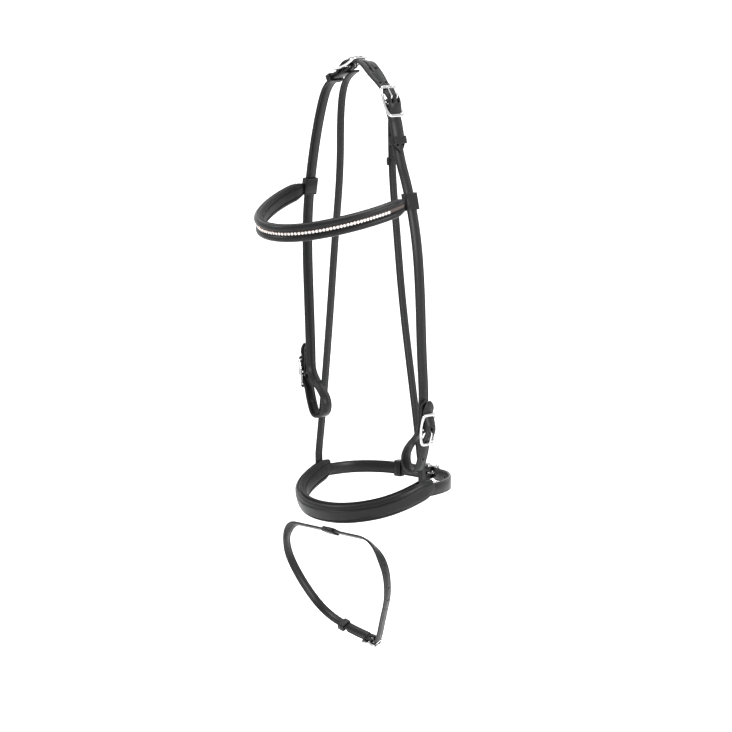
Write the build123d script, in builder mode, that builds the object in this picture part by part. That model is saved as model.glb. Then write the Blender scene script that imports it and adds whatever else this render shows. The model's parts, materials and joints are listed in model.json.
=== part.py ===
"""Snaffle bridle with a padded, crystal-set browband and a flash noseband, hung as on a head.

The origin is the underside of the crown strap where it lies on the poll. +Z is up, the horse's
face looks towards -Y, and its near (left) side is +X. All sizes are in millimetres.
"""
from build123d import *
from collections import namedtuple
from math import asin, atan2, cos, degrees, hypot, pi, radians, sin, tan
import os

# ---------------------------------------------------------------- leather and fits
LEATHER = 3.2           # bridle leather of the crown, cheeks and chin strap
HANGER_LEATHER = 2.6
FLASH_LEATHER = 2.6
GAP = 0.3               # air between two straps that lie on each other
SLIDE_GAP = 0.5         # air inside a keeper, so that it can be pushed along
KEEPER_WALL = 1.8
KEEPER_LENGTH = 9.5
KEEPER_CORNER = 1.5
CROWN_WIDTH = 26.0      # over the poll
BILLET_WIDTH = 19.4     # the crown's two ends, where they pass the buckles
CHEEK_WIDTH = 15.6
HANGER_WIDTH = 11.6
CHIN_WIDTH = 16.0
FLASH_WIDTH = 12.0
BROWBAND_WIDTH = 22.0
NOSEBAND_WIDTH = 25.0
EASE = 0.45             # share of the shorter run that a bend takes up
PAST = 160.0            # far enough to cut past the end of any crown strap
TIP_ROUND = 0.46        # tip radius as a share of the strap's width

# ---------------------------------------------------------------- buckles
ARM = 2.8               # width of a frame's side arm
ARM_PROUD = 0.2         # how much thicker the arms are than the bars, all round
RING_FIT = 0.06         # running clearance of a prong on its bar
RING_WALL = 1.2
PRONG_WIDTH = 2.8
PRONG_THICK = 2.0
CLIMB = 1.15            # a billet that climbs off a bar passes it this much closer than a flat one
BAR_BEND = 3.0          # radius of a billet's bend at an end bar
SLOT_WIDTH = 3.6        # prong slots in the leather
SLOT_START = -7.4       # slot, measured along the strap from the centre bar
SLOT_END = 4.0
SLOT_DEPTH = 3.5        # each way from the middle of the leather
FOLD_SLOT = 19.0        # slot in a turned end, shared between both sides of the bar
BAR_FIT = 0.1           # from a bar to the leather turned round it
CROWN_PRONG_PITCH = 9.6
HOLE_RADIUS = 1.9
PRONG_FOOT = -0.6       # where a prong leaves its ring, along the strap
PRONG_CRANK = -4.2      # where it has come up over the billet
PRONG_BEND = 1.6
PRONG_SINK = 0.2        # how far its flat underside beds in the slot
PRONG_OVERHANG = 1.6    # how far its tip passes the end bar's middle
FOLD_REACH = 12.0       # from the bar to where a turned end is one flat strap

# inner width, bar pitch, bar radius, rise of the end bars, billet leather, turned leather
Buckle = namedtuple("Buckle", "inner pitch bar rise leather fold")
CROWN_BUCKLE = Buckle(BILLET_WIDTH + 1.2, 18.0, 1.6, 2.5, LEATHER, 2.0)
CHEEK_BUCKLE = Buckle(CHEEK_WIDTH + 1.2, 18.0, 1.6, 2.5, LEATHER, 2.0)
CHIN_BUCKLE = Buckle(CHIN_WIDTH + 1.2, 14.0, 1.5, 2.5, LEATHER, 2.0)
FLASH_BUCKLE = Buckle(FLASH_WIDTH + 1.0, 11.0, 1.3, 2.2, FLASH_LEATHER, 1.6)

# ---------------------------------------------------------------- where things hang
SIDE = Plane.XZ         # side view of crown and cheeks: x to the near side, y up
NEAR_SHOULDER = (-10.0, -27.0)          # heights between which the crown narrows to its billet
FAR_SHOULDER = (9.0, -1.0)              # the same on the far side, across
CROWN_ARCH = [(7.0, 1.0), (17.0, -7.6), (29.0, -19.3)]
NEAR_CROWN_BAR = (49.3, -45.6)
NEAR_CROWN_HEADING = -67.0
FAR_CROWN_BAR = (-20.0, -3.6)
FAR_CROWN_HEADING = 202.0
CHEEK_LEAN = 6.0
NEAR_CHEEK_BAR = (112.0, -442.0)
FAR_CHEEK_BAR = (-100.6, -394.0)
NEAR_CHEEK = [(63.6, -113.0), (79.0, -152.0), (93.0, -209.0), (99.0, -270.0), (102.0, -350.0)]
FAR_CHEEK = [(-60.0, -27.0), (-71.0, -50.0), (-85.0, -102.0), (-97.0, -172.0), (-99.5, -230.0),
             (-96.5, -300.0)]
NEAR_TAIL_BENDS = {2: 60.0}             # radii of a cheekpiece's bends beside the crown's tail
FAR_TAIL_BENDS = {1: 20.0, 2: 15.0}
LAP_START = -4.0        # where a cheekpiece leaves its straight run behind its buckle
CHEEK_TUCK = 0.9        # how far it tucks up into the thinned turned end above it
CHEEK_DROP = LEATHER - CHEEK_TUCK       # so it lies this far below the tail's level there
CHEEK_SLOPE = 0.0765    # how a cheekpiece falls away behind its buckle
LAP_TURN = 18.0         # where the short strap meets the cheekpiece
SEWN = 0.1              # glue line between two straps sewn together
LAP_END = 36.0          # end of the short strap that holds the cheek buckle
LAP_CORNER = 44.0       # first bend of the cheekpiece beyond it
LAP_BEND = 120.0
BIT_LOOP = [(-33.0, -33.0), (-55.0, -31.0), (-60.0, -10.0), (-34.0, -3.5)]
BILLET_TIP = (36.0, 1.0)
NEAR_TAIL_END = 38.5    # how far the crown's tails run past the last bend
FAR_TAIL_END = 16.0

NOSE_LEVEL = -526.0     # middle of the noseband at the jaw
NOSE_DROP = 17.8        # degrees that the front half dips
NOSE_CENTRE = (-4.0, 22.0)
NOSE_HALF = (91.7, 88.0)
HANGER_ROOM = 10.0      # from a hanger's middle to the strap ends beside it
NOSE_BACK = 19.0        # how far the padded front reaches behind the hangers
NOSE_FACE = 4.6
NOSE_PAD = 7.0
NOSE_EDGE = 1.5         # how far face and padding stand past the strap between them, each side
CHIN_ACROSS = 10.0      # chin buckle's bar, towards the near side
CHIN_SET = 1.0          # and behind the jaw's curve
CHIN_BEND = 26.0
CHIN_HOLD = 26.0        # straight run of the chin strap behind its buckle
CHIN_FAR = [(-60.0, -10.0), 66.0]       # bend behind the jaw from the bar, and corner at the far side
CHIN_NEAR = [68.0, (50.0, -5.0)]        # the same on the near side
CHIN_TAIL = 34.0
FLASH_HEADING = 172.0
FLASH_BEND = 25.0
FLASH_FOLD_REACH = 9.0
FLASH_HOLD = 20.0
FLASH_TAIL = 24.0
HANGER_SET = 2.3        # from a cheekpiece's back edge in to a hanger's middle, at the top
HANGER_TOP = Vector(0, CHEEK_WIDTH / 2 - HANGER_SET, -60.0)
HANGER_DRIFT = 1.35     # degrees that the hangers run back from the cheeks
NEAR_HANGER = [(44.0, -76.0), (44.2, -134.0), (50.0, -200.0), (58.0, -290.0), (72.5, -388.0),
               (80.5, -440.0)]
FAR_HANGER = [(-38.0, -28.0), (-44.5, -62.0), (-46.5, -135.0), (-58.0, -218.0), (-72.0, -335.0),
              (-88.0, -452.0)]
HANGER_END = NOSE_LEVEL - 6.0           # a hanger ends just below the noseband's middle
HANGER_STRAIGHT = NOSE_LEVEL + 23.0     # and runs straight down to it from here

CROWN_SLIT = (11.0, 3.5, 27.0, 2.0)     # its place across and forward, length and width
CROWN_HOLES = (27.0, 52.0)              # from the near crown buckle's bar, back over the poll
NEAR_KEEPER = 23.0      # places of the keepers along their straight runs
FAR_KEEPER = 9.0
FAR_KEEPER_LENGTH = 7.0
HANGER_KEEPER = 42.0
CHIN_KEEPER = 22.0
FLASH_KEEPER = 27.0
FLASH_KEEPER_LENGTH = 8.5

BROW_NEAR = Vector(84.0, 0, -165.0)     # middle of each browband loop
BROW_FAR = Vector(-95.0, 0, -157.0)
BROW_DROP = 14.3        # degrees that the browband falls towards the forehead
BROW_DEPTH = 145.0
BROW_LOOP_HEIGHT = 21.0
BROW_LOOP_SLACK = 1.5   # play of a cheekpiece across its loop
STONE_RADIUS = 1.7
STONE_COUNT = 44
STONE_HEIGHT = 0.7      # as a share of the radius
STONE_SLOPE = 30.0
STONE_RUN = (0.09, 0.91)                # shares of the band between which they are set
CORE = 2.4              # the browband's own strap
ROLL = 4.6
LINING = 5.0
CHANNEL_WIDTH = 4.4     # between the rolls
CHANNEL_DEPTH = 1.8
CHANNEL_FIT = 0.02
RING_SPREAD = 0.414     # half of an octagon's side, as a share of its half width

FLASH_HANG = 50.0       # from the noseband's level at the jaw down to the flash loop
FLASH_TOP = Vector(6.0, -62.0, NOSE_LEVEL - FLASH_HANG)    # middle of the flash loop
FLASH_TILT = 23.0       # degrees that the flash strap hangs back
FLASH_BAR = (10.0, -162.0)
FLASH_LEFT = [(-63.0, -140.0), (-91.0, -94.0), (-101.0, -42.0), (-74.0, 0.0)]
FLASH_RIGHT = [(68.0, 0.0), (82.0, -36.0), (69.0, -82.0), (46.0, -119.0)]
FLASH_LOOP_WIDTH = 18.0

PARTS = {}


# ---------------------------------------------------------------- geometry of a strap's side view
def beside(points, shift):
    """The same route, moved sideways to its left by shift, with mitred corners."""
    moved = []
    last = len(points) - 1
    for i, (x, y) in enumerate(points):
        before = points[max(i - 1, 0)]
        after = points[min(i + 1, last)]
        start = atan2(y - before[1], x - before[0]) if i else atan2(after[1] - y, after[0] - x)
        finish = atan2(after[1] - y, after[0] - x) if i < last else start
        turn = (finish - start + pi) % (2 * pi) - pi
        middle = start + turn / 2
        reach = shift / cos(turn / 2)
        moved.append((x - reach * sin(middle), y + reach * cos(middle)))
    return moved


def bends(points, radii=None):
    """Each inner corner as (tangent in, tangent out, arc centre, radius, turn to the left)."""
    found = []
    for i in range(1, len(points) - 1):
        corner = Vector(*points[i])
        back = Vector(*points[i - 1]) - corner
        ahead = Vector(*points[i + 1]) - corner
        turn = atan2((-back).cross(ahead).Z, (-back).dot(ahead))
        radius = radii.get(i) if radii else None
        if radius is None:
            radius = EASE * min(back.length, ahead.length) / tan(abs(turn) / 2)
        tangent = radius * tan(abs(turn) / 2)
        enter = corner + back.normalized() * tangent
        leave = corner + ahead.normalized() * tangent
        inward = (back.normalized() + ahead.normalized()).normalized()
        centre = corner + inward * (radius / cos(turn / 2))
        found.append((enter, leave, centre, radius, turn))
    return found


def corner_radii(points):
    """The radius of each corner of a route, for layers that follow it at one distance."""
    return {i + 1: bend[3] for i, bend in enumerate(bends(points))}


def strap_edge(points, shift, radii=None):
    """Draws one side of a strap in the current BuildLine and returns its two ends."""
    ends = beside([points[0], points[1]], shift)[0], beside([points[-2], points[-1]], shift)[1]
    here = Vector(*ends[0])
    for enter, leave, centre, radius, turn in bends(points, radii):
        left = shift if turn > 0 else -shift
        rays = [(place - centre).normalized() for place in (enter, leave)]
        middle = (rays[0] + rays[1]).normalized()
        size = radius - left
        start, end = centre + rays[0] * size, centre + rays[1] * size
        if (start - here).length > 1e-4:
            Line(here, start)
        ThreePointArc(start, centre + middle * size, end)
        here = end
    Line(here, Vector(*ends[1]))
    return Vector(*ends[0]), Vector(*ends[1])


def side_view(base, bar, heading, outward):
    """Plane of a buckle's side view: origin on its centre bar, x to the strap's tip, y outwards."""
    along = base.x_dir * cos(radians(heading)) + base.y_dir * sin(radians(heading))
    left = base.y_dir * cos(radians(heading)) - base.x_dir * sin(radians(heading))
    origin = base.from_local_coords(Vector(bar[0], bar[1], 0))
    return Plane(origin=origin, x_dir=along, z_dir=along.cross(left * outward))


def via(base, seat, spots):
    """Places in a buckle's side view, as places in the strap's own side view."""
    there = [base.to_local_coords(seat.from_local_coords(Vector(s, n, 0))) for s, n in spots]
    return [(place.X, place.Y) for place in there]


def over(buckle):
    """Height of the billet's middle where it rides over the turned leather on the centre bar."""
    return buckle.bar + BAR_FIT + buckle.fold + GAP + buckle.leather / 2


def under(buckle):
    """Height of the billet's middle under an end bar."""
    return buckle.rise - CLIMB * (buckle.bar + GAP + buckle.leather / 2)


def tail_level(buckle):
    """Height of the middle of the strap that lies under the billet."""
    return under(buckle) - buckle.leather - GAP


def crest(buckle):
    """Corner of the billet's route, whose arc rides round the centre bar."""
    reach = hypot(buckle.pitch, under(buckle))
    bend = asin(over(buckle) / reach) - atan2(under(buckle), buckle.pitch)
    return over(buckle) / cos(bend)


def billet_path(buckle):
    """Under one end bar, over the middle, under the other."""
    return [(-buckle.pitch, under(buckle)), (0, crest(buckle)), (buckle.pitch, under(buckle))]


# ---------------------------------------------------------------- pieces
def keep(label, part):
    """Names a finished piece and writes it."""
    part.label = label
    PARTS[label] = part
    export_step(part, f"parts/{label}.step")


def strap(base, route, width, leather, radii=None, lift=0.0, folds=(), slots=(), tips=()):
    """A flat strap: side view from its route, turned ends round bars, slots, rounded tips."""
    with BuildPart() as piece:
        with BuildSketch(base):
            with BuildLine():
                a, b = strap_edge(route, lift + leather / 2, radii)
                c, d = strap_edge(route, lift - leather / 2, radii)
                Line(a, c)
                Line(b, d)
            make_face()
        extrude(amount=width / 2, both=True)
        for tip in tips:
            end = piece.faces().sort_by_distance(tip)[0]
            corners = end.edges().filter_by(lambda e: abs(e.length - leather) < 0.01)
            fillet(corners, radius=width * TIP_ROUND)
        for seat, buckle, across in folds:
            with BuildSketch(seat):
                Circle(buckle.bar + BAR_FIT + buckle.fold)
                with Locations((FOLD_REACH, tail_level(buckle))):
                    Circle(leather / 2)
                make_hull()
            extrude(amount=width / 2, both=True)
            with BuildSketch(seat):
                Circle(buckle.bar + BAR_FIT)
            extrude(amount=width, both=True, mode=Mode.SUBTRACT)
            for place in across:
                with BuildSketch(slot_plane(seat, place)):
                    Rectangle(FOLD_SLOT / 2 + buckle.bar, SLOT_WIDTH)
                extrude(amount=FOLD_REACH, both=True, mode=Mode.SUBTRACT)
        for plane, length, breadth, depth in slots:
            with BuildSketch(plane):
                SlotOverall(length, breadth)
            extrude(amount=depth, both=True, mode=Mode.SUBTRACT)
    return piece.part


def slot_plane(seat, across, along=0.0, height=0.0):
    """Plane that faces outwards at a place on a strap, x along the strap."""
    origin = seat.from_local_coords(Vector(along, height, across))
    return Plane(origin=origin, x_dir=seat.x_dir, z_dir=seat.y_dir)


def billet_slots(seat, buckle, across):
    """The holes that a buckle's prongs stand in."""
    length = SLOT_END - SLOT_START
    middle = (SLOT_END + SLOT_START) / 2
    return [(slot_plane(seat, place, middle, over(buckle)), length, SLOT_WIDTH, SLOT_DEPTH)
            for place in across]


def billet_bends(buckle, first):
    """Radii of a billet's three bends at a buckle, of which the first is the route's corner first."""
    return {first: BAR_BEND, first + 1: over(buckle), first + 2: BAR_BEND}


def prong_spots(buckle, count):
    """Places of the prongs across a buckle."""
    if count == 1:
        return [0.0]
    return [-CROWN_PRONG_PITCH / 2, CROWN_PRONG_PITCH / 2]


def frame(seat, buckle):
    """A three-bar frame: two arched side arms and three round bars."""
    pitch, rise, bar = buckle.pitch, buckle.rise, buckle.bar
    arm = bar + ARM_PROUD
    with BuildPart() as piece:
        with BuildSketch(seat):
            with BuildLine():
                ThreePointArc((-pitch, rise + arm), (0, arm), (pitch, rise + arm))
                ThreePointArc((pitch, rise + arm), (pitch + arm, rise), (pitch, rise - arm))
                ThreePointArc((pitch, rise - arm), (0, -arm), (-pitch, rise - arm))
                ThreePointArc((-pitch, rise - arm), (-pitch - arm, rise), (-pitch, rise + arm))
            make_face()
        extrude(amount=buckle.inner / 2 + ARM, both=True)
        with BuildSketch(seat):
            Rectangle(3 * pitch, 3 * pitch)
        extrude(amount=buckle.inner / 2, both=True, mode=Mode.SUBTRACT)
        with BuildSketch(seat):
            with Locations((-pitch, rise), (0, 0), (pitch, rise)):
                Circle(bar)
        extrude(amount=buckle.inner / 2 + ARM / 2, both=True)
    return piece.part


def prong(seat, buckle, across):
    """A cranked tongue, turned round the centre bar, with its tip resting on the end bar."""
    hold = buckle.bar + RING_FIT
    rest = buckle.rise + buckle.bar + BAR_FIT + PRONG_THICK / 2
    top = over(buckle) + buckle.leather / 2 + PRONG_THICK / 2 - PRONG_SINK
    route = [(PRONG_FOOT, hold + RING_WALL / 2), (PRONG_CRANK, top),
             (-buckle.pitch - PRONG_OVERHANG, rest)]
    with BuildPart() as piece:
        with BuildSketch(seat.offset(across)):
            with BuildLine():
                a, b = strap_edge(route, PRONG_THICK / 2, {1: PRONG_BEND})
                c, d = strap_edge(route, -PRONG_THICK / 2, {1: PRONG_BEND})
                Line(a, c)
                Line(b, d)
            make_face()
            Circle(hold + RING_WALL)
            Circle(hold, mode=Mode.SUBTRACT)
        extrude(amount=PRONG_WIDTH / 2, both=True)
    return piece.part


def keeper(seat, width, thick, length=KEEPER_LENGTH, slack=SLIDE_GAP):
    """A leather loop round a stack of straps, whose middle is the origin of a side view."""
    plane = Plane(origin=seat.origin, x_dir=seat.z_dir, z_dir=seat.x_dir)
    with BuildPart() as piece:
        with BuildSketch(plane):
            RectangleRounded(width + 2 * (slack + KEEPER_WALL), thick + 2 * (slack + KEEPER_WALL),
                             KEEPER_CORNER)
            Rectangle(width + 2 * slack, thick + 2 * slack, mode=Mode.SUBTRACT)
        extrude(amount=length / 2, both=True)
    return piece.part


def on_run(points, index, distance):
    """Place and heading at a distance along one run of a route."""
    start, end = Vector(*points[index]), Vector(*points[index + 1])
    run = (end - start).normalized()
    spot = start + run * distance
    return (spot.X, spot.Y), degrees(atan2(run.Y, run.X))


# ---------------------------------------------------------------- crown, cheeks and hangers
os.makedirs("parts", exist_ok=True)

near_crown = side_view(SIDE, NEAR_CROWN_BAR, NEAR_CROWN_HEADING, 1)
far_crown = side_view(SIDE, FAR_CROWN_BAR, FAR_CROWN_HEADING, -1)
near_cheek = side_view(SIDE, NEAR_CHEEK_BAR, 90.0 - CHEEK_LEAN, -1)
far_cheek = side_view(SIDE, FAR_CHEEK_BAR, 90.0 + CHEEK_LEAN, 1)
level = tail_level(CROWN_BUCKLE)
prongs = prong_spots(CROWN_BUCKLE, 2)


def cheek_lay(along):
    """Height of the cheekpiece's middle behind its own buckle."""
    return tail_level(CHEEK_BUCKLE) - CHEEK_DROP - CHEEK_SLOPE * (along - LAP_START)


def cheek_route(crown, cheek, middle):
    """From the crown buckle down to the bit loop, and back up through the cheek buckle."""
    top = via(SIDE, crown, [(FOLD_REACH, level), (2 * FOLD_REACH, level)])
    lap = [(along, cheek_lay(along)) for along in (LAP_CORNER, LAP_START)]
    bottom = via(SIDE, cheek, lap + BIT_LOOP)
    billet = via(SIDE, cheek, billet_path(CHEEK_BUCKLE) + [BILLET_TIP])
    return top + middle + bottom + billet


near_route = cheek_route(near_crown, near_cheek, NEAR_CHEEK)
far_route = cheek_route(far_crown, far_cheek, FAR_CHEEK)
for name, route, crown, cheek, tail_bends in (
        ("near", near_route, near_crown, near_cheek, NEAR_TAIL_BENDS),
        ("far", far_route, far_crown, far_cheek, FAR_TAIL_BENDS)):
    first = len(route) - 4
    tip = SIDE.from_local_coords(Vector(*route[-1], 0))
    piece = strap(SIDE, route, CHEEK_WIDTH, LEATHER,
                  billet_bends(CHEEK_BUCKLE, first) | tail_bends | {len(route) - 10: LAP_BEND},
                  folds=[(crown, CROWN_BUCKLE, prongs)],
                  slots=billet_slots(cheek, CHEEK_BUCKLE, [0.0]), tips=[tip])
    keep(f"{name}_cheekpiece", piece)
    chape_path = via(SIDE, cheek, [(FOLD_REACH, tail_level(CHEEK_BUCKLE)),
                                   (LAP_TURN, cheek_lay(LAP_TURN) + LEATHER + SEWN),
                                   (LAP_END, cheek_lay(LAP_END) + LEATHER + SEWN)])
    end = SIDE.from_local_coords(Vector(*chape_path[-1], 0))
    piece = strap(SIDE, chape_path, CHEEK_WIDTH, LEATHER,
                  folds=[(cheek, CHEEK_BUCKLE, [0.0])], tips=[end])
    keep(f"{name}_cheek_chape", piece)
    keep(f"{name}_crown_buckle", frame(crown, CROWN_BUCKLE))
    keep(f"{name}_cheek_buckle", frame(cheek, CHEEK_BUCKLE))
    for place, across in zip(("front", "rear"), prongs if name == "near" else prongs[::-1]):
        keep(f"{name}_crown_prong_{place}", prong(crown, CROWN_BUCKLE, across))
    keep(f"{name}_cheek_prong", prong(cheek, CHEEK_BUCKLE, 0.0))

near_lay = beside(near_route[1:4], LEATHER + GAP)
far_lay = beside(far_route[1:4], -LEATHER - GAP)
near_tail = [near_lay[0], on_run(near_lay, 0, NEAR_TAIL_END)[0]]
far_tail = [far_lay[0], on_run(far_lay, 0, FAR_TAIL_END)[0]]
crown_route = (far_tail[::-1] + via(SIDE, far_crown, billet_path(CROWN_BUCKLE))[::-1] + CROWN_ARCH
               + via(SIDE, near_crown, billet_path(CROWN_BUCKLE)) + near_tail)
tips = [SIDE.from_local_coords(Vector(*crown_route[i], 0)) for i in (0, -1)]
near_first = len(crown_route) - 5
crown_slots = (billet_slots(near_crown, CROWN_BUCKLE, prongs)
               + billet_slots(far_crown, CROWN_BUCKLE, prongs))
with BuildPart() as crown_strap:
    add(strap(SIDE, crown_route, CROWN_WIDTH, LEATHER,
              billet_bends(CROWN_BUCKLE, 2) | billet_bends(CROWN_BUCKLE, near_first),
              slots=crown_slots))
    for edge in (-1, 1):        # the shoulders, where the wide crown narrows to its billets
        with BuildSketch(Plane.YZ):
            Polygon((edge * BILLET_WIDTH / 2, NEAR_SHOULDER[1]), (edge * CROWN_WIDTH / 2, NEAR_SHOULDER[0]),
                    (edge * CROWN_WIDTH, NEAR_SHOULDER[0]), (edge * CROWN_WIDTH, -PAST),
                    (edge * BILLET_WIDTH / 2, -PAST), align=None)
        extrude(amount=PAST, mode=Mode.SUBTRACT)
        with BuildSketch(Plane.XY):
            Polygon((FAR_SHOULDER[0], edge * CROWN_WIDTH / 2), (FAR_SHOULDER[1], edge * BILLET_WIDTH / 2),
                    (-PAST, edge * BILLET_WIDTH / 2), (-PAST, edge * CROWN_WIDTH),
                    (FAR_SHOULDER[0], edge * CROWN_WIDTH), align=None)
        extrude(amount=PAST, both=True, mode=Mode.SUBTRACT)
    for tip in tips:
        end = crown_strap.faces().sort_by_distance(tip)[0]
        corners = end.edges().filter_by(lambda e: abs(e.length - LEATHER) < 0.01)
        fillet(corners, radius=BILLET_WIDTH * TIP_ROUND)
    across, forward, length, breadth = CROWN_SLIT
    with BuildSketch(Plane.XY):         # the comfort slit over the poll
        with Locations((across, forward)):
            SlotOverall(length, breadth)
    extrude(amount=CROWN_WIDTH, both=True, mode=Mode.SUBTRACT)
    for along in CROWN_HOLES:
        with BuildSketch(slot_plane(near_crown, 0.0, -along)):
            with Locations((0, prongs[0]), (0, prongs[1])):
                Circle(HOLE_RADIUS)
        extrude(amount=CROWN_WIDTH, both=True, mode=Mode.SUBTRACT)
keep("crown_strap", crown_strap.part)

STACK = 2 * LEATHER + GAP
run_place, run_heading = on_run(beside(near_route[1:4], (LEATHER + GAP) / 2), 0, NEAR_KEEPER)
near_stack = side_view(SIDE, run_place, run_heading, 1)
keep("near_crown_keeper", keeper(near_stack, BILLET_WIDTH, STACK))
run_place, run_heading = on_run(beside(far_route[1:4], -(LEATHER + GAP) / 2), 0, FAR_KEEPER)
far_stack = side_view(SIDE, run_place, run_heading, -1)
keep("far_crown_keeper", keeper(far_stack, BILLET_WIDTH, STACK, FAR_KEEPER_LENGTH))

drift = radians(HANGER_DRIFT)
HANG = Plane(origin=HANGER_TOP, x_dir=(1, 0, 0), z_dir=(0, -cos(drift), -sin(drift)))
behind = level - LEATHER / 2 - HANGER_LEATHER / 2
for name, crown, middle, inner in (("near", near_crown, NEAR_HANGER, 1), ("far", far_crown, FAR_HANGER, -1)):
    jaw = NOSE_CENTRE[0] + inner * NOSE_HALF[0]
    spots = middle + [(jaw, HANGER_STRAIGHT), (jaw, HANGER_END)]
    route = [(x, (z - HANGER_TOP.Z) / cos(drift)) for x, z in spots]
    top = [(x, (z - HANGER_TOP.Z) / cos(drift)) for x, z in via(SIDE, crown, [(-2, behind), (9, behind)])]
    keep(f"{name}_hanger", strap(HANG, top + route, HANGER_WIDTH, HANGER_LEATHER))
    if name == "near":
        place, heading = on_run(top + route, 2, HANGER_KEEPER)
        hanger_stack = side_view(HANG, place, heading, 1)
        keep("near_hanger_keeper", keeper(hanger_stack, HANGER_WIDTH, HANGER_LEATHER))


# ---------------------------------------------------------------- browband
def half_ring(half_width, depth, start):
    """Front half of a ring, open to the back: its corners lie about an ellipse."""
    near, far = RING_SPREAD * half_width, RING_SPREAD * depth
    return [(half_width, start), (half_width, -far), (near, -depth),
            (-near, -depth), (-half_width, -far), (-half_width, start)]


def stones(base, route, radii, lift, radius, count):
    """A row of small faceted domes, set outwards along a route."""
    with BuildLine() as row:
        strap_edge(route, lift, radii)
    wire = Wire(row.edges())
    first, last = STONE_RUN
    with BuildPart() as piece:
        for i in range(count):
            share = first + (last - first) * i / (count - 1)
            spot, run = wire.position_at(share), wire.tangent_at(share)
            spot = base.from_local_coords(spot)
            out = base.x_dir * -run.Y + base.y_dir * run.X
            with BuildSketch(Plane(origin=spot, x_dir=base.z_dir, z_dir=out)):
                RegularPolygon(radius, 8)
            extrude(amount=radius * STONE_HEIGHT, taper=STONE_SLOPE)
    return piece.part


brow_middle = (BROW_NEAR + BROW_FAR) / 2
brow_across = (BROW_NEAR - BROW_FAR).normalized()
brow_back = Vector(0, cos(radians(BROW_DROP)), sin(radians(BROW_DROP)))
BROW = Plane(origin=brow_middle, x_dir=brow_across, z_dir=brow_across.cross(brow_back))
brow_half = (BROW_NEAR - BROW_FAR).length / 2
loop_wall = CHEEK_WIDTH / 2 + BROW_LOOP_SLACK + KEEPER_WALL
brow_route = half_ring(brow_half, BROW_DEPTH / cos(radians(BROW_DROP)), 0.0)
brow_radii = corner_radii(brow_route)
with BuildPart() as browband_strap:
    add(strap(BROW, brow_route, BROWBAND_WIDTH - 1, CORE, brow_radii))
    with Locations((0, PAST - loop_wall, BROW_NEAR.Z)):     # its ends lie flat against the loops
        Box(2 * PAST, 2 * PAST, 2 * PAST, mode=Mode.SUBTRACT)
keep("browband_strap", browband_strap.part)
clear = -loop_wall - 0.5 - BROWBAND_WIDTH / 2 * tan(radians(BROW_DROP))
padded_route = [(brow_half, clear)] + brow_route[1:-1] + [(-brow_half, clear)]
keep("browband_lining", strap(BROW, padded_route, BROWBAND_WIDTH, LINING, brow_radii,
                              lift=-(CORE + LINING) / 2))
for name, height in (("upper", 1), ("lower", -1)):
    roll_width = (BROWBAND_WIDTH - CHANNEL_WIDTH) / 2
    plane = BROW.offset(height * (roll_width + CHANNEL_WIDTH) / 2)
    keep(f"browband_{name}_roll", strap(plane, padded_route, roll_width, ROLL, brow_radii,
                                        lift=(CORE + ROLL) / 2))
channel = ROLL - CHANNEL_DEPTH
keep("browband_channel", strap(BROW, padded_route, CHANNEL_WIDTH - CHANNEL_FIT, channel, brow_radii,
                               lift=(CORE + channel) / 2))
keep("browband_stones", stones(BROW, padded_route, brow_radii, CORE / 2 + channel, STONE_RADIUS,
                               STONE_COUNT))
for name, route, outward, target in (
        ("near", near_route, 1, BROW_NEAR.Z), ("far", far_route, -1, BROW_FAR.Z)):
    run = max(i for i in range(len(route) - 8) if route[i][1] > target)
    fall = route[run][1] - route[run + 1][1]
    length = hypot(fall, route[run][0] - route[run + 1][0])
    place, heading = on_run(route, run, (route[run][1] - target) / fall * length)
    seat = side_view(SIDE, place, heading, outward)
    keep(f"{name}_browband_loop",
         keeper(seat, CHEEK_WIDTH, LEATHER, BROW_LOOP_HEIGHT, BROW_LOOP_SLACK))

# ---------------------------------------------------------------- noseband
pivot_y = HANGER_TOP.Y + (HANGER_TOP.Z - NOSE_LEVEL) * tan(drift)
drop = radians(NOSE_DROP)
NOSE = Plane(origin=(NOSE_CENTRE[0], pivot_y, NOSE_LEVEL), x_dir=(1, 0, 0), z_dir=(0, -sin(drop), cos(drop)))
CHIN = Plane.XY.offset(NOSE_LEVEL)
nose_half = NOSE_HALF[0]
nose_depth = (pivot_y - NOSE_CENTRE[1] + NOSE_HALF[1]) / cos(drop)
full = half_ring(nose_half, nose_depth, NOSE_BACK)
core = [(nose_half, -HANGER_ROOM)] + full[1:-1] + [(-nose_half, -HANGER_ROOM)]
nose_radii = corner_radii(core)
keep("noseband_core", strap(NOSE, core, NOSEBAND_WIDTH - 2 * NOSE_EDGE, LEATHER, nose_radii))
keep("noseband_face", strap(NOSE, full, NOSEBAND_WIDTH, NOSE_FACE, nose_radii,
                            lift=(LEATHER + NOSE_FACE) / 2))
keep("noseband_padding", strap(NOSE, full, NOSEBAND_WIDTH + 2 * NOSE_EDGE, NOSE_PAD, nose_radii,
                               lift=-(LEATHER + NOSE_PAD) / 2))

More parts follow.
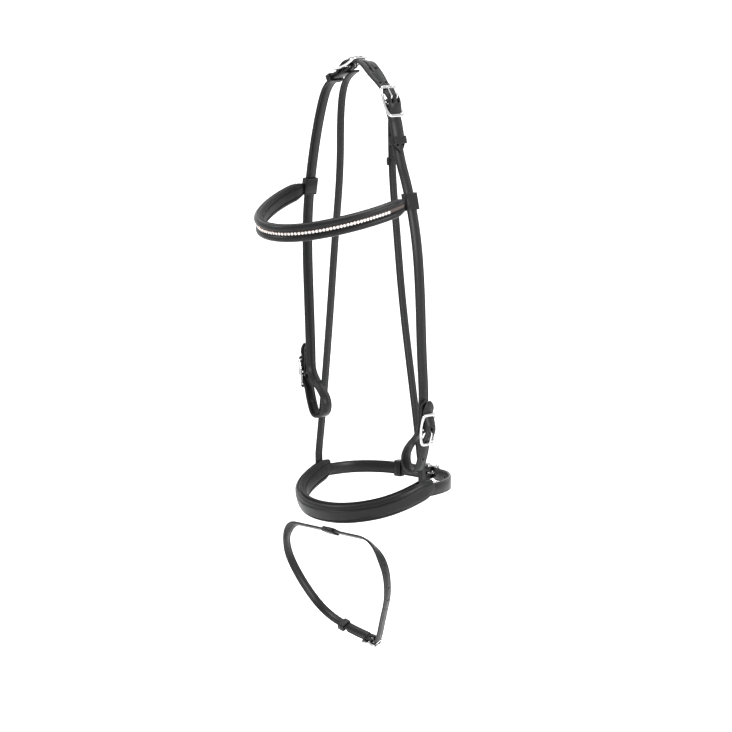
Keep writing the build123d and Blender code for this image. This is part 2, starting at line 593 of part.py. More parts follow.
CHIN_BAR = (CHIN_ACROSS, NOSE_CENTRE[1] + NOSE_HALF[1] + CHIN_SET)
chin = side_view(CHIN, CHIN_BAR, 180.0, -1)
chin_level = tail_level(CHIN_BUCKLE)
near_jaw, far_jaw = NOSE_CENTRE[0] + nose_half, NOSE_CENTRE[0] - nose_half
chin_start = pivot_y + HANGER_ROOM
bend, corner = CHIN_FAR
far_chin = via(CHIN, chin, [(FOLD_REACH, chin_level), (CHIN_HOLD, chin_level)]) + [
    (bend[0], CHIN_BAR[1] + bend[1]), (far_jaw, corner), (far_jaw, chin_start)]
keep("chin_strap_far", strap(CHIN, far_chin, CHIN_WIDTH, LEATHER, {2: CHIN_BEND},
                             folds=[(chin, CHIN_BUCKLE, [0.0])]))
lay = beside(far_chin[1:4], -LEATHER - GAP)
corner, bend = CHIN_NEAR
near_chin = [(near_jaw, chin_start), (near_jaw, corner), (bend[0], CHIN_BAR[1] + bend[1])] + via(
    CHIN, chin, billet_path(CHIN_BUCKLE)) + [lay[0], lay[1], on_run(lay, 1, CHIN_TAIL)[0]]
tip = CHIN.from_local_coords(Vector(*near_chin[-1], 0))
keep("chin_strap_near", strap(CHIN, near_chin, CHIN_WIDTH, LEATHER,
                              billet_bends(CHIN_BUCKLE, 3) | {7: CHIN_BEND + LEATHER + GAP},
                              slots=billet_slots(chin, CHIN_BUCKLE, [0.0]), tips=[tip]))
keep("chin_buckle", frame(chin, CHIN_BUCKLE))
keep("chin_prong", prong(chin, CHIN_BUCKLE, 0.0))
place, heading = on_run(beside(far_chin[1:4], -(LEATHER + GAP) / 2), 0, CHIN_KEEPER)
keep("chin_keeper", keeper(side_view(CHIN, place, heading, -1), CHIN_WIDTH, STACK))

# ---------------------------------------------------------------- flash strap
tilt = radians(FLASH_TILT)
FLASH = Plane(origin=FLASH_TOP, x_dir=(1, 0, 0), z_dir=(0, -cos(tilt), -sin(tilt)))
flash = side_view(FLASH, FLASH_BAR, FLASH_HEADING, 1)
flash_level = tail_level(FLASH_BUCKLE)
flash_route = (via(FLASH, flash, [(FLASH_FOLD_REACH, flash_level), (FLASH_HOLD, flash_level)]) + FLASH_LEFT
               + FLASH_RIGHT + via(FLASH, flash, billet_path(FLASH_BUCKLE)))
lay = beside(flash_route[1:4], FLASH_LEATHER + GAP)
flash_route += [lay[0], lay[1], on_run(lay, 1, FLASH_TAIL)[0]]
last = len(flash_route) - 1
tip = FLASH.from_local_coords(Vector(*flash_route[-1], 0))
keep("flash_strap", strap(FLASH, flash_route, FLASH_WIDTH, FLASH_LEATHER,
                          billet_bends(FLASH_BUCKLE, last - 5)
                          | {2: FLASH_BEND, last - 1: FLASH_BEND + FLASH_LEATHER + GAP},
                          folds=[(flash, FLASH_BUCKLE, [0.0])],
                          slots=billet_slots(flash, FLASH_BUCKLE, [0.0]), tips=[tip]))
keep("flash_buckle", frame(flash, FLASH_BUCKLE))
keep("flash_prong", prong(flash, FLASH_BUCKLE, 0.0))
place, heading = on_run(beside(flash_route[1:4], (FLASH_LEATHER + GAP) / 2), 0, FLASH_KEEPER)
keep("flash_keeper", keeper(side_view(FLASH, place, heading, 1), FLASH_WIDTH,
                            2 * FLASH_LEATHER + GAP, FLASH_KEEPER_LENGTH))
loop_seat = side_view(FLASH, (0.0, 0.0), 0.0, 1)
keep("flash_loop", keeper(loop_seat, FLASH_WIDTH, FLASH_LEATHER, FLASH_LOOP_WIDTH))
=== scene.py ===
# %% [markdown]
# # A snaffle bridle
# A bridle is a set of flat leather straps that hang a bit in a horse's mouth: a crown over the poll,
# a cheekpiece down each side, a browband in front, and a noseband on two thin hangers of its own.
# The solid model is loaded first, as a frame that isn't changed. Every piece below is built round it,
# in metres, and rides on one of its bodies, so the buckles and keepers still move.
# %% Load the frame
import bpy
import bmesh
import json
import math
from collections import namedtuple
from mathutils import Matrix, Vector

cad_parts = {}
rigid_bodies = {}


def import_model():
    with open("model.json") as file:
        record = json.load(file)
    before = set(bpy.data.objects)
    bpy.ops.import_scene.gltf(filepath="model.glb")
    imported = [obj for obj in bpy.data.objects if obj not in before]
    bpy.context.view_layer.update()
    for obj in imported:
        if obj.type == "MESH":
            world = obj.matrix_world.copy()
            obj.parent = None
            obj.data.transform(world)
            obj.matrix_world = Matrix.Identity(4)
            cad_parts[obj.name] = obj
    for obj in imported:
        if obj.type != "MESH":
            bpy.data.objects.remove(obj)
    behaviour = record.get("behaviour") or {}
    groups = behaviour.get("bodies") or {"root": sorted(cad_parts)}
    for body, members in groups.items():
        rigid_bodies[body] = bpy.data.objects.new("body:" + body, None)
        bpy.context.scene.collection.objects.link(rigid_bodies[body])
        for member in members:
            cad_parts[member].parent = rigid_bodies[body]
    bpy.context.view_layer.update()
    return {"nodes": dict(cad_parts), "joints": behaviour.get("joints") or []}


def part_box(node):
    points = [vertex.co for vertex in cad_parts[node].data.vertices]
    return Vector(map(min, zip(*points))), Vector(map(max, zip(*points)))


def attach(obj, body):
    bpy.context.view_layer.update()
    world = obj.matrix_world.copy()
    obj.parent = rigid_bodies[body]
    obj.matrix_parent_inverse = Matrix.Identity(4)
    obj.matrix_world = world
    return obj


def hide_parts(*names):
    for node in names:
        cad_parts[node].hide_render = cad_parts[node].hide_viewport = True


for thing in list(bpy.data.objects):
    bpy.data.objects.remove(thing)
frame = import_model()
MM = 0.001
put_in_scene = bpy.context.scene.collection.objects.link

# %% [markdown]
# ## Views to draw in
# Each strap lies in one plane, seen from its edge, so its shape is a flat line of a few points. A view
# holds where that plane is, which way is along and which way is out. Every buckle has such a view of
# its own, with its middle bar at the origin, because the straps weave through it in the same way.
# %% Views and places
View = namedtuple("View", "origin along out")
LEATHER, THIN_LEATHER = 3.2, 2.6
CHEEK_WIDTH, BILLET_WIDTH, CHIN_WIDTH, FLASH_WIDTH, HANGER_WIDTH = 15.6, 19.4, 16, 12, 11.6
PRONG_SET = 4.8                     # from a crown strap's middle to each of its two prongs
JAW_MIDDLE, JAW_HALF, JAW_LEVEL = -4, 91.7, -526
NOSE_TILT, BROW_TILT = math.radians(17.8), math.radians(14.3)
HANGER_TOP = (0, 5.5, -60)


def place(view, s, n, across=0.0):
    """A place in a view, given in millimetres, as a place in the frame in metres."""
    return view.origin + (view.along * s + view.out * n + view.along.cross(view.out) * across) * MM


def places(view, spots):
    return [place(view, s, n) for s, n in spots]


def seat(view, bar, heading, side):
    """A view with its origin on a bar, along a heading in degrees, out to the left if side is 1."""
    turn = math.radians(heading)
    along = view.along * math.cos(turn) + view.out * math.sin(turn)
    left = view.out * math.cos(turn) - view.along * math.sin(turn)
    return View(place(view, *bar), along, left * side)


def tilted(origin, degrees):
    """An upright view from the front that leans back by some degrees."""
    lean = math.radians(degrees)
    return View(Vector(origin) * MM, Vector((1, 0, 0)), Vector((0, -math.sin(lean), math.cos(lean))))


SIDE = View(Vector((0, 0, 0)), Vector((1, 0, 0)), Vector((0, 0, 1)))
NEAR_CROWN = seat(SIDE, (49.3, -45.6), -67, 1)
FAR_CROWN = seat(SIDE, (-20.0, -3.6), 202, -1)
NEAR_CHEEK = seat(SIDE, (112.0, -442.0), 84, -1)
FAR_CHEEK = seat(SIDE, (-100.6, -394.0), 96, 1)
DRIFT = 1.35
HANG = tilted(HANGER_TOP, DRIFT)
PIVOT = HANGER_TOP[1] + (HANGER_TOP[2] - JAW_LEVEL) * math.tan(math.radians(DRIFT))
NOSE = View(Vector((JAW_MIDDLE, PIVOT, JAW_LEVEL)) * MM, Vector((1, 0, 0)),
            Vector((0, math.cos(NOSE_TILT), math.sin(NOSE_TILT))))
CHIN = View(Vector((0, 0, JAW_LEVEL)) * MM, Vector((1, 0, 0)), Vector((0, 1, 0)))
CHIN_BUCKLE = seat(CHIN, (10, 111), 180, -1)
FLASH = tilted((6, -62, -576), 23)
FLASH_BUCKLE = seat(FLASH, (10, -162), 172, 1)
brow_near, brow_far = Vector((84, 0, -165)), Vector((-95, 0, -157))
brow_across = (brow_near - brow_far).normalized()
brow_back = Vector((0, math.cos(BROW_TILT), math.sin(BROW_TILT)))
BROW = View((brow_near + brow_far) / 2 * MM, brow_across, brow_across.cross(brow_back).cross(brow_across))
BROW_HALF = (brow_near - brow_far).length / 2
print("distance between the browband's loops:", round(2 * BROW_HALF), "mm")

# %% [markdown]
# ## Straps
# Bridle leather is cut in long strips, so a strap is one cross-section moved along a smooth line.
# The line is a NURBS spline over a few control points: it bends gently, as thick leather does. The
# cross-section has rounded corners and two pressed creases. Sweeping it in code keeps it upright
# everywhere, which a curve's own bevel wouldn't, and lets the ends narrow to a point.
# %% A smooth line over control points
def smooth_line(controls, detail=14):
    """Points along a NURBS spline over control points, close together."""
    data = bpy.data.curves.new("line", "CURVE")
    data.dimensions = "3D"
    spline = data.splines.new("NURBS")
    spline.points.add(len(controls) - 1)
    for point, control in zip(spline.points, controls):
        point.co = (*control, 1)
    spline.use_endpoint_u = True
    spline.order_u = 3
    spline.resolution_u = detail
    holder = bpy.data.objects.new("line", data)
    mesh = bpy.data.meshes.new_from_object(holder)
    points = [vertex.co.copy() for vertex in mesh.vertices]
    bpy.data.objects.remove(holder)
    bpy.data.curves.remove(data)
    bpy.data.meshes.remove(mesh)
    return points


def spaced(points, step, fine=0.0):
    """Points at even distances along a line, closer together over the fine stretch at each end."""
    lengths = [0.0]
    for a, b in zip(points, points[1:]):
        lengths.append(lengths[-1] + (b - a).length)
    total = lengths[-1]
    wanted, here = [], 0.0
    while here < total - 1e-6:
        wanted.append(here)
        here += step / 5 if min(here, total - here - step / 5) < fine else step
    wanted.append(total)
    result, i = [], 0
    for want in wanted:
        while i < len(lengths) - 2 and lengths[i + 1] < want:
            i += 1
        share = (want - lengths[i]) / max(lengths[i + 1] - lengths[i], 1e-9)
        result.append((want, points[i].lerp(points[i + 1], share)))
    return result


# %% Cross-sections, as (across, out) in millimetres
def strip(width, thick, creases=True):
    """Cut leather: rounded corners, and a pressed line beside each edge of the outer face."""
    half, top = width / 2, thick / 2
    corner = min(0.9, thick * 0.32)
    outline = []
    for cx, cy, first in ((half - corner, top - corner, 0), (corner - half, top - corner, 90),
                          (corner - half, corner - top, 180), (half - corner, corner - top, 270)):
        for step in range(4):
            angle = math.radians(first + step * 30)
            outline.append((cx + corner * math.cos(angle), cy + corner * math.sin(angle)))
        if first == 0:
            inset = half - 1.9
            groove = [(inset + 0.4, top), (inset, top - 0.3), (inset - 0.4, top)] if creases else []
            outline += groove + [(0, top)] + [(-a, b) for a, b in groove[::-1]]
        if first == 180:
            under_groove = [(a, -b) for a, b in groove]
            outline += [(-a, b) for a, b in under_groove] + [(0, -top)] + under_groove[::-1]
    return outline


def pad(width, depth, base, side, seams=(), pinch=0.55, steps=36, square=2.6):
    """A stuffed shape, flat where it lies on the strap and crowned on its open side."""
    half = width / 2
    outline = [(half, base), (half * 0.4, base), (-half * 0.4, base), (-half, base)]
    for i in range(1, steps):
        a = -half * math.cos(math.pi * i / steps)
        height = depth * (1 - abs(a / half) ** square) ** 0.5
        for seam in seams:
            height *= 1 - pinch * math.exp(-((a - seam) / 0.75) ** 2)
        outline.append((a, base + side * height))
    return outline


# %% Turning a built shape into a piece
PIECES = {}
Piece = namedtuple("Piece", "object body slot")


def finished(name, bm, body, slot):
    """A smooth piece of its own from a bmesh, kept with the body that it rides on and its finish."""
    bmesh.ops.recalc_face_normals(bm, faces=bm.faces)
    for one in bm.faces:
        one.smooth = True
    mesh = bpy.data.meshes.new(name + "_dressed")
    bm.to_mesh(mesh)
    bm.free()
    piece = bpy.data.objects.new(name + "_dressed", mesh)
    put_in_scene(piece)
    PIECES[name] = Piece(piece, body, slot)
    return piece


# %% Sweeping a cross-section along a line
RIBBONS = {}
Ribbon = namedtuple("Ribbon", "stations tangents across face")


def sweep(name, body, controls, across, outline, face=1, step=3.0, tips=(None, None), twist=None,
          base=0.0, slot="strap_leather"):
    """A strap. tips are functions from the distance to that end, in millimetres, to (across, out) scales,
    and a pad gets thinner towards its base, not towards the line. twist is a function from a place to how
    far the strap is turned there, in degrees."""
    fine = 14 * MM if tips != (None, None) else 0.0
    stations = spaced(smooth_line(controls), step * MM, fine)
    spots = [spot for _, spot in stations]
    tangents = [(spots[min(i + 1, len(spots) - 1)] - spots[max(i - 1, 0)]).normalized()
                for i in range(len(spots))]
    total = stations[-1][0]
    widest = max(abs(a) for a, _ in outline)
    bm = bmesh.new()
    layer = bm.loops.layers.uv.new("strap")
    rings, count = [], len(outline)
    for (s, spot), tangent in zip(stations, tangents):
        out = across.cross(tangent).normalized() * face
        wide = across
        if twist:
            turn = math.radians(twist(spot))
            wide, out = (across * math.cos(turn) + out * math.sin(turn),
                         out * math.cos(turn) - across * math.sin(turn))
        ka = kb = 1.0
        for tip, gone in ((tips[0], s), (tips[1], total - s)):
            if tip:
                ta, tb = tip(gone / MM)
                ka, kb = ka * ta, kb * tb
        rings.append([bm.verts.new(spot + wide * (a * ka * MM) + out * ((base + (b - base) * kb) * MM))
                      for a, b in outline])
    for i in range(len(rings) - 1):
        for j in range(count):
            k = (j + 1) % count
            quad = bm.faces.new((rings[i][j], rings[i][k], rings[i + 1][k], rings[i + 1][j]))
            for loop, (row, column) in zip(quad.loops, ((i, j), (i, k), (i + 1, k), (i + 1, j))):
                loop[layer].uv = (stations[row][0], outline[column][0] / widest)
    for ring in (rings[0], rings[-1]):
        cap = bm.faces.new(ring)
        for loop in cap.loops:
            loop[layer].uv = (0, 1)
        bmesh.ops.triangulate(bm, faces=[cap])
    RIBBONS[name] = Ribbon(stations, tangents, across, face)
    piece = finished(name, bm, body, slot)
    print(f"{name}: {total / MM:.0f} mm long, {len(piece.data.polygons)} faces")
    return piece


def pointed(width, length=None):
    """A spear-shaped end: full width, then in two gentle curves to a narrow tip."""
    length = length or width * 0.75

    def scale(gone):
        if gone >= length:
            return 1.0, 1.0
        share = gone / length
        return max(0.06, math.sin(share * math.pi / 2) ** 0.72), 0.75 + 0.25 * share
    return scale


def slim(length, width=0.75, thick=0.35):
    """An end that gets narrower and flatter, such as a pad's end beside a loop."""
    def scale(gone):
        share = min(gone / length, 1.0)
        ease = math.sin(share * math.pi / 2)
        return width + (1 - width) * ease, thick + (1 - thick) * ease
    return scale


# %% [markdown]
# ## Cheekpieces
# Each cheekpiece is one long strap. It is turned round the bar of the crown buckle, runs down the face,
# loops round where the bit's ring goes, and comes back up through its own buckle. The control points
# beside a buckle come in pairs: two low ones under each end bar and two high ones over the middle bar.
# %% Heights of a strap in a buckle
Buckle = namedtuple("Buckle", "view inner pitch bar rise leather body")
BUCKLES = {
    "near_crown": Buckle(NEAR_CROWN, 20.6, 18, 1.6, 2.5, 3.2, "headpiece"),
    "far_crown": Buckle(FAR_CROWN, 20.6, 18, 1.6, 2.5, 3.2, "headpiece"),
    "near_cheek": Buckle(NEAR_CHEEK, 16.8, 18, 1.6, 2.5, 3.2, "headpiece"),
    "far_cheek": Buckle(FAR_CHEEK, 16.8, 18, 1.6, 2.5, 3.2, "headpiece"),
    "chin": Buckle(CHIN_BUCKLE, 17.2, 14, 1.5, 2.5, 3.2, "noseband"),
    "flash": Buckle(FLASH_BUCKLE, 13.0, 11, 1.3, 2.2, 2.6, "flash_strap"),
}
FOLD = 1.9


def under(b):
    return b.rise - 1.15 * (b.bar + 0.3 + b.leather / 2)


def tail(b):
    return under(b) - b.leather - 0.3


def over(b):
    return b.bar + 0.1 + 2.0 + 0.3 + b.leather / 2


def billet(b):
    """Control points of a strap that goes under, over and under a buckle's three bars."""
    low, high, reach = under(b) - 0.45, over(b) + 0.1, b.pitch * 0.3
    return places(b.view, [(-b.pitch, low), (-reach, high), (reach, high), (b.pitch, low)])


def lay(b, s):
    """Height of a cheekpiece's middle behind its own buckle."""
    return tail(b) - 2.3 - 0.0765 * (s + 4)


# %% The two cheekpieces and the short straps that hold their buckles
ACROSS = Vector((0, -1, 0))
BIT_LOOP = [(-33, -33), (-55, -31), (-60, -10), (-34, -3.5)]
NEAR_RUN = [(63.6, -113), (79, -152), (93, -209), (99, -270), (102, -350)]
FAR_RUN = [(-60, -27), (-71, -50), (-85, -102), (-97, -172), (-99.5, -230), (-96.5, -300)]
for name, run, face in (("near", NEAR_RUN, 1), ("far", FAR_RUN, -1)):
    crown, cheek = BUCKLES[name + "_crown"], BUCKLES[name + "_cheek"]
    level = tail(crown)
    top = places(crown.view, [(8, level), (16, level), (24, level)])
    low = places(cheek.view, [(44, lay(cheek, 44)), (20, lay(cheek, 20)), (-4, lay(cheek, -4))] + BIT_LOOP)
    route = top + places(SIDE, run) + low + billet(cheek) + places(cheek.view, [(26, 0.4), (36, 1.0)])
    sweep(name + "_cheekpiece", "headpiece", route, ACROSS, strip(CHEEK_WIDTH, LEATHER), face,
          tips=(None, pointed(CHEEK_WIDTH)))
    short = [(10, tail(cheek)), (14, tail(cheek) - 0.2), (20, lay(cheek, 18) + 3.3),
             (36, lay(cheek, 36) + 3.3)]
    sweep(name + "_cheek_chape", "headpiece", places(cheek.view, short), ACROSS,
          strip(CHEEK_WIDTH, LEATHER), -face, tips=(None, pointed(CHEEK_WIDTH, 9)))

# %% [markdown]
# ## Crown
# The crown lies over the poll and narrows at both ends to go through the buckles. It is swept at its
# narrow width and widened over the middle by a smooth step, because the real one is cut so from one
# hide. The slit eases the pull behind the ears.
# %% The crown strap
near_start = place(NEAR_CROWN, 24, under(BUCKLES["near_crown"]))
far_start = place(FAR_CROWN, 24, under(BUCKLES["far_crown"]))
far_run = (Vector((-60, 0, -27)) * MM - place(FAR_CROWN, 24, tail(BUCKLES["far_crown"]))).normalized()
near_run = (Vector((63.6, 0, -113)) * MM - place(NEAR_CROWN, 24, tail(BUCKLES["near_crown"]))).normalized()
near_end = near_start + near_run * 38.5 * MM
far_end = far_start + far_run * 16 * MM
arch = places(SIDE, [(7, 1.0), (17, -7.6), (29, -19.3)])
crown_route = ([far_end, far_end.lerp(far_start, 0.6), far_start] + billet(BUCKLES["far_crown"])[::-1] + arch
               + billet(BUCKLES["near_crown"]) + [near_start, near_start.lerp(near_end, 0.5), near_end])
crown = sweep("crown_strap", "headpiece", crown_route, ACROSS, strip(BILLET_WIDTH, LEATHER), 1,
              tips=(pointed(BILLET_WIDTH, 12), pointed(BILLET_WIDTH, 15)))
for vertex in crown.data.vertices:
    x, y, z = vertex.co
    left = min(max((x + 1 * MM) / (10 * MM), 0), 1)
    down = min(max((z + 27 * MM) / (17 * MM), 0), 1)
    step = min(left, down)
    vertex.co.y = y * (1 + (26.0 / 19.4 - 1) * step * step * (3 - 2 * step))
print("crown is", round(max(v.co.y for v in crown.data.vertices) * 2 / MM, 1), "mm wide over the poll")

# %% [markdown]
# ## Hangers
# The noseband hangs on two thin straps. They are sewn to the insides of the cheekpieces at the top and
# run down a little further back.
# %% The two hangers
NEAR_FALL = [(44, -76), (44.2, -134), (50, -200), (58, -290), (72.5, -388), (80.5, -440)]
FAR_FALL = [(-38, -28), (-44.5, -62), (-46.5, -135), (-58, -218), (-72, -335), (-88, -452)]
for name, start, run, side in (("near", NEAR_CROWN, NEAR_FALL, 1), ("far", FAR_CROWN, FAR_FALL, -1)):
    behind = tail(BUCKLES[name + "_crown"]) - 1.6 - 1.3
    jaw = JAW_MIDDLE + side * JAW_HALF
    flat = [place(start, s, behind) / MM for s in (-2, 9)]
    spots = [(v.x, v.z) for v in flat] + run + [(jaw, -500), (jaw, -506), (jaw, -532)]
    route = places(HANG, [(x, (z + 60) / math.cos(math.radians(DRIFT))) for x, z in spots])
    sweep(name + "_hanger", "headpiece", route, HANG.out.cross(HANG.along),
          strip(HANGER_WIDTH, THIN_LEATHER), side)

# %% [markdown]
# ## Browband
# The browband is a strap with a soft lining behind it and two stuffed rolls in front. The stones sit in
# the channel between the rolls. Each stuffed piece is one crowned cross-section, pulled in where a row
# of stitches holds it down, so it looks full without a simulation that would close its narrow seams.
# %% Browband pieces
def half_ring(view, half, depth, start):
    spread = 0.414
    return places(view, [(half, start), (half, -spread * depth), (spread * half, -depth),
                         (-spread * half, -depth), (-half, -spread * depth), (-half, start)])


BROW_DEPTH = 145 / math.cos(BROW_TILT)
LOOP_EDGE = -11.1
brow_up = BROW.along.cross(BROW.out)
brow_full = half_ring(BROW, BROW_HALF, BROW_DEPTH, LOOP_EDGE + 0.3)
brow_soft = half_ring(BROW, BROW_HALF, BROW_DEPTH, LOOP_EDGE - 3.4)
tab = slim(16, 0.66, 0.85)
sweep("browband_strap", "browband", brow_full, brow_up, strip(21, 2.4), 1, tips=(tab, tab))
end = slim(17, 0.72, 0.4)
sweep("browband_lining", "browband", brow_soft, brow_up, pad(22, 5.0, -1.2, -1, (-5.4, 5.4)), 1,
      tips=(end, end), base=-1.2, slot="padding_leather")


def shifted(outline, move):
    return [(a + move, b) for a, b in outline]


roll = pad(8.8, 4.6, 1.2, 1, (), square=2.2, steps=24)
for name, height in (("upper", 6.6), ("lower", -6.6)):
    sweep(f"browband_{name}_roll", "browband", brow_soft, brow_up, shifted(roll, height), 1, tips=(end, end))
sweep("browband_channel", "browband", brow_soft, brow_up,
      [(2.9, 1.2), (2.9, 2.7), (1.6, 3.0), (-1.6, 3.0), (-2.9, 2.7), (-2.9, 1.2)], 1,
      tips=(slim(22, 0.7, 0.6), slim(22, 0.7, 0.6)), slot="stone_setting")

# %% [markdown]
# ## Noseband
# The front half of the noseband is padded inside, and has a raised face with a stitched roll. Behind the
# hangers it goes on as a plain strap to a buckle under the jaw.
# %% Noseband pieces
NOSE_DEPTH = (PIVOT - 22 + 88) / math.cos(NOSE_TILT)
nose_up = NOSE.along.cross(NOSE.out)
nose_full = half_ring(NOSE, JAW_HALF, NOSE_DEPTH, 19)
nose_core = half_ring(NOSE, JAW_HALF, NOSE_DEPTH, -10)
sweep("noseband_core", "noseband", nose_core, nose_up, strip(22, 3.2), 1)
face = pad(25, 4.6, 1.6, 1, (-8.6, 6.8), pinch=0.5, steps=44, square=3.2)
blunt = slim(20, 0.62, 0.5)
sweep("noseband_face", "noseband", nose_full, nose_up, face, 1, tips=(blunt, blunt), base=1.6)
sweep("noseband_padding", "noseband", nose_full, nose_up, pad(28, 7.0, -1.6, -1, (-7.0, 7.0), steps=44),
      1, tips=(blunt, blunt), base=-1.6, slot="padding_leather")

# %% The chin strap
chin = BUCKLES["chin"]
far_jaw, near_jaw, chin_start = JAW_MIDDLE - JAW_HALF, JAW_MIDDLE + JAW_HALF, PIVOT + 10
far_chin = (places(chin.view, [(8, tail(chin)), (26, tail(chin))])
            + places(CHIN, [(-60, 101), (far_jaw, 66), (far_jaw, chin_start)]))
CHIN_UP = Vector((0, 0, 1))
sweep("chin_strap_far", "noseband", far_chin, CHIN_UP, strip(CHIN_WIDTH, LEATHER), -1)
straight = (far_chin[2] - far_chin[1]).normalized()
aside = Vector((-straight.y, straight.x, 0))
aside = aside if aside.y > 0 else -aside
near_chin = (places(CHIN, [(near_jaw, chin_start), (near_jaw, 68), (50, 106)]) + billet(chin)
             + [place(chin.view, 24, under(chin)), far_chin[1] + aside * 3.5 * MM + straight * 12 * MM,
                far_chin[1] + aside * 3.5 * MM + straight * 33 * MM])
sweep("chin_strap_near", "noseband", near_chin, CHIN_UP, strip(CHIN_WIDTH, LEATHER), -1,
      tips=(None, pointed(CHIN_WIDTH)))

# %% [markdown]
# ## Flash strap
# The flash strap goes through a small loop under the noseband and closes below the bit.
# %% The flash strap
flash = BUCKLES["flash"]
FLASH_RUN = [(-63, -140), (-91, -94), (-101, -42), (-74, 0), (-44, 0), (40, 0), (68, 0), (82, -36), (69, -82),
             (46, -119)]
flash_route = (places(flash.view, [(7, tail(flash)), (20, tail(flash))]) + places(FLASH, FLASH_RUN)
               + billet(flash))
flash_dir = (flash_route[2] - flash_route[1]).normalized()
flash_across = FLASH.along.cross(FLASH.out)
flash_side = flash_across.cross(flash_dir)
if flash_side.dot(flash.view.out) < 0:
    flash_side = -flash_side
flash_end = flash_route[1] + flash_side * 2.9 * MM
flash_route += [place(flash.view, 18, under(flash)), flash_end + flash_dir * 8 * MM,
                flash_end + flash_dir * 24 * MM]
FLASH_TURN = -50.0


def face_forward(spot):
    """The flash strap lies flat at the sides, and turns its face to the front where the loop holds it."""
    height = (spot - FLASH.origin).dot(FLASH.out) / MM
    share = min(max((height + 34) / 32, 0), 1)
    return FLASH_TURN * share * share * (3 - 2 * share)


sweep("flash_strap", "flash_strap", flash_route, flash_across, strip(FLASH_WIDTH, THIN_LEATHER), -1,
      tips=(None, pointed(FLASH_WIDTH)), twist=face_forward)

# %% [markdown]
# ## Turned ends
# Where a strap is turned round a bar it is skived, made thinner, and folded back on itself. Each fold is
# a thin ribbon bent round the bar, with a slot in its middle for the prong.
# %% Folds round the middle bars
for name, b in BUCKLES.items():
    r = b.bar + 0.1 + FOLD / 2
    t = tail(b)
    width = {"near_crown": 15.6, "far_crown": 15.6, "near_cheek": 15.6, "far_cheek": 15.6, "chin": 16,
             "flash": 12}[name]
    fold = FOLD if name != "flash" else 1.5
    bend = [(15, t + 0.5), (11, t + 0.9), (4.6, r * 1.05), (-r * 1.15, r * 1.08), (-r * 1.15, -r * 1.12),
            (3.5, -r * 1.25), (10, t + 0.2), (15, t)]
    across = b.view.along.cross(b.view.out)
    sweep(f"{name}_fold", b.body, places(b.view, bend), across, strip(width - 0.1, fold, False), 1, step=1.0)

# %% [markdown]
# ## Buckles and prongs
# The buckles are cast with flat, rounded arms, polished, and arched over the strap. Each frame is one
# closed path with rounded corners and an oval section, wider than it is thick, which a curve's round
# bevel can't give. The middle bar and the prongs are round wire, so a curve with a bevel is enough for
# them. A prong curls round the bar and lies on the end bar.
# %% Wire pieces from paths
def wire(name, body, paths, radius, tapers=None, cyclic=()):
    """Round wire along one or more paths, as one mesh."""
    data = bpy.data.curves.new(name, "CURVE")
    data.dimensions = "3D"
    data.bevel_depth = radius * MM
    data.bevel_resolution = 5
    data.use_fill_caps = True
    for n, path in enumerate(paths):
        spline = data.splines.new("POLY")
        spline.points.add(len(path) - 1)
        for i, (point, spot) in enumerate(zip(spline.points, path)):
            point.co = (*spot, 1)
            point.radius = tapers[n][i] if tapers else 1.0
        spline.use_cyclic_u = n in cyclic
    holder = bpy.data.objects.new(name + "_path", data)
    mesh = bpy.data.meshes.new_from_object(holder)
    bpy.data.objects.remove(holder)
    bpy.data.curves.remove(data)
    bm = bmesh.new()
    bm.from_mesh(mesh)
    bmesh.ops.remove_doubles(bm, verts=bm.verts, dist=1e-6)
    bpy.data.meshes.remove(mesh)
    return finished(name, bm, body, "polished_steel")


def buckle_frame(name, b):
    """The arched ring and its middle bar."""
    arm, corner = b.inner / 2 + 1.6, 3.4
    ring = []
    for side_s, side_a in ((1, 1), (-1, 1), (-1, -1), (1, -1)):
        turn = []
        for i in range(7):
            angle = math.radians(15 * i)
            turn.append((b.pitch - corner + corner * math.cos(angle),
                         arm - corner + corner * math.sin(angle)))
        if side_s * side_a < 0:
            turn = turn[::-1]
        turn = [(s * side_s, a * side_a) for s, a in turn]
        ring += turn
        if side_a == 1 and side_s == 1:
            ring += [(b.pitch * k, arm) for k in (0.6, 0.3, 0, -0.3, -0.6)]
        if side_a == -1 and side_s == -1:
            ring += [(b.pitch * k, -arm) for k in (-0.6, -0.3, 0, 0.3, 0.6)]
    bm = bmesh.new()
    bm.loops.layers.uv.new("strap")
    rings = []
    for i, (s, a) in enumerate(ring):
        before, after = ring[i - 1], ring[(i + 1) % len(ring)]
        run = Vector((after[0] - before[0], after[1] - before[1])).normalized()
        outer = Vector((run.y, -run.x))
        if outer.dot(Vector((s, a))) < 0:
            outer = -outer
        height = b.rise * (s / b.pitch) ** 2
        one = []
        for k in range(14):
            angle = 2 * math.pi * k / 14
            wide = (b.bar + 0.45) * math.cos(angle) + 0.45
            thick = (b.bar - 0.15) * math.sin(angle)
            one.append(bm.verts.new(place(b.view, s + outer.x * wide, height + thick, a + outer.y * wide)))
        rings.append(one)
    for i in range(len(rings)):
        for k in range(14):
            m, n = (i + 1) % len(rings), (k + 1) % 14
            bm.faces.new((rings[i][k], rings[i][n], rings[m][n], rings[m][k]))
    bar = [place(b.view, 0, 0, k * arm) for k in (-1, -0.5, 0, 0.5, 1)]
    middle = wire(name + "_bar", b.body, [bar], b.bar - 0.1)
    bm.from_mesh(middle.data)
    del PIECES[name + "_bar"]
    bpy.data.meshes.remove(middle.data)
    return finished(name, bm, b.body, "polished_steel")


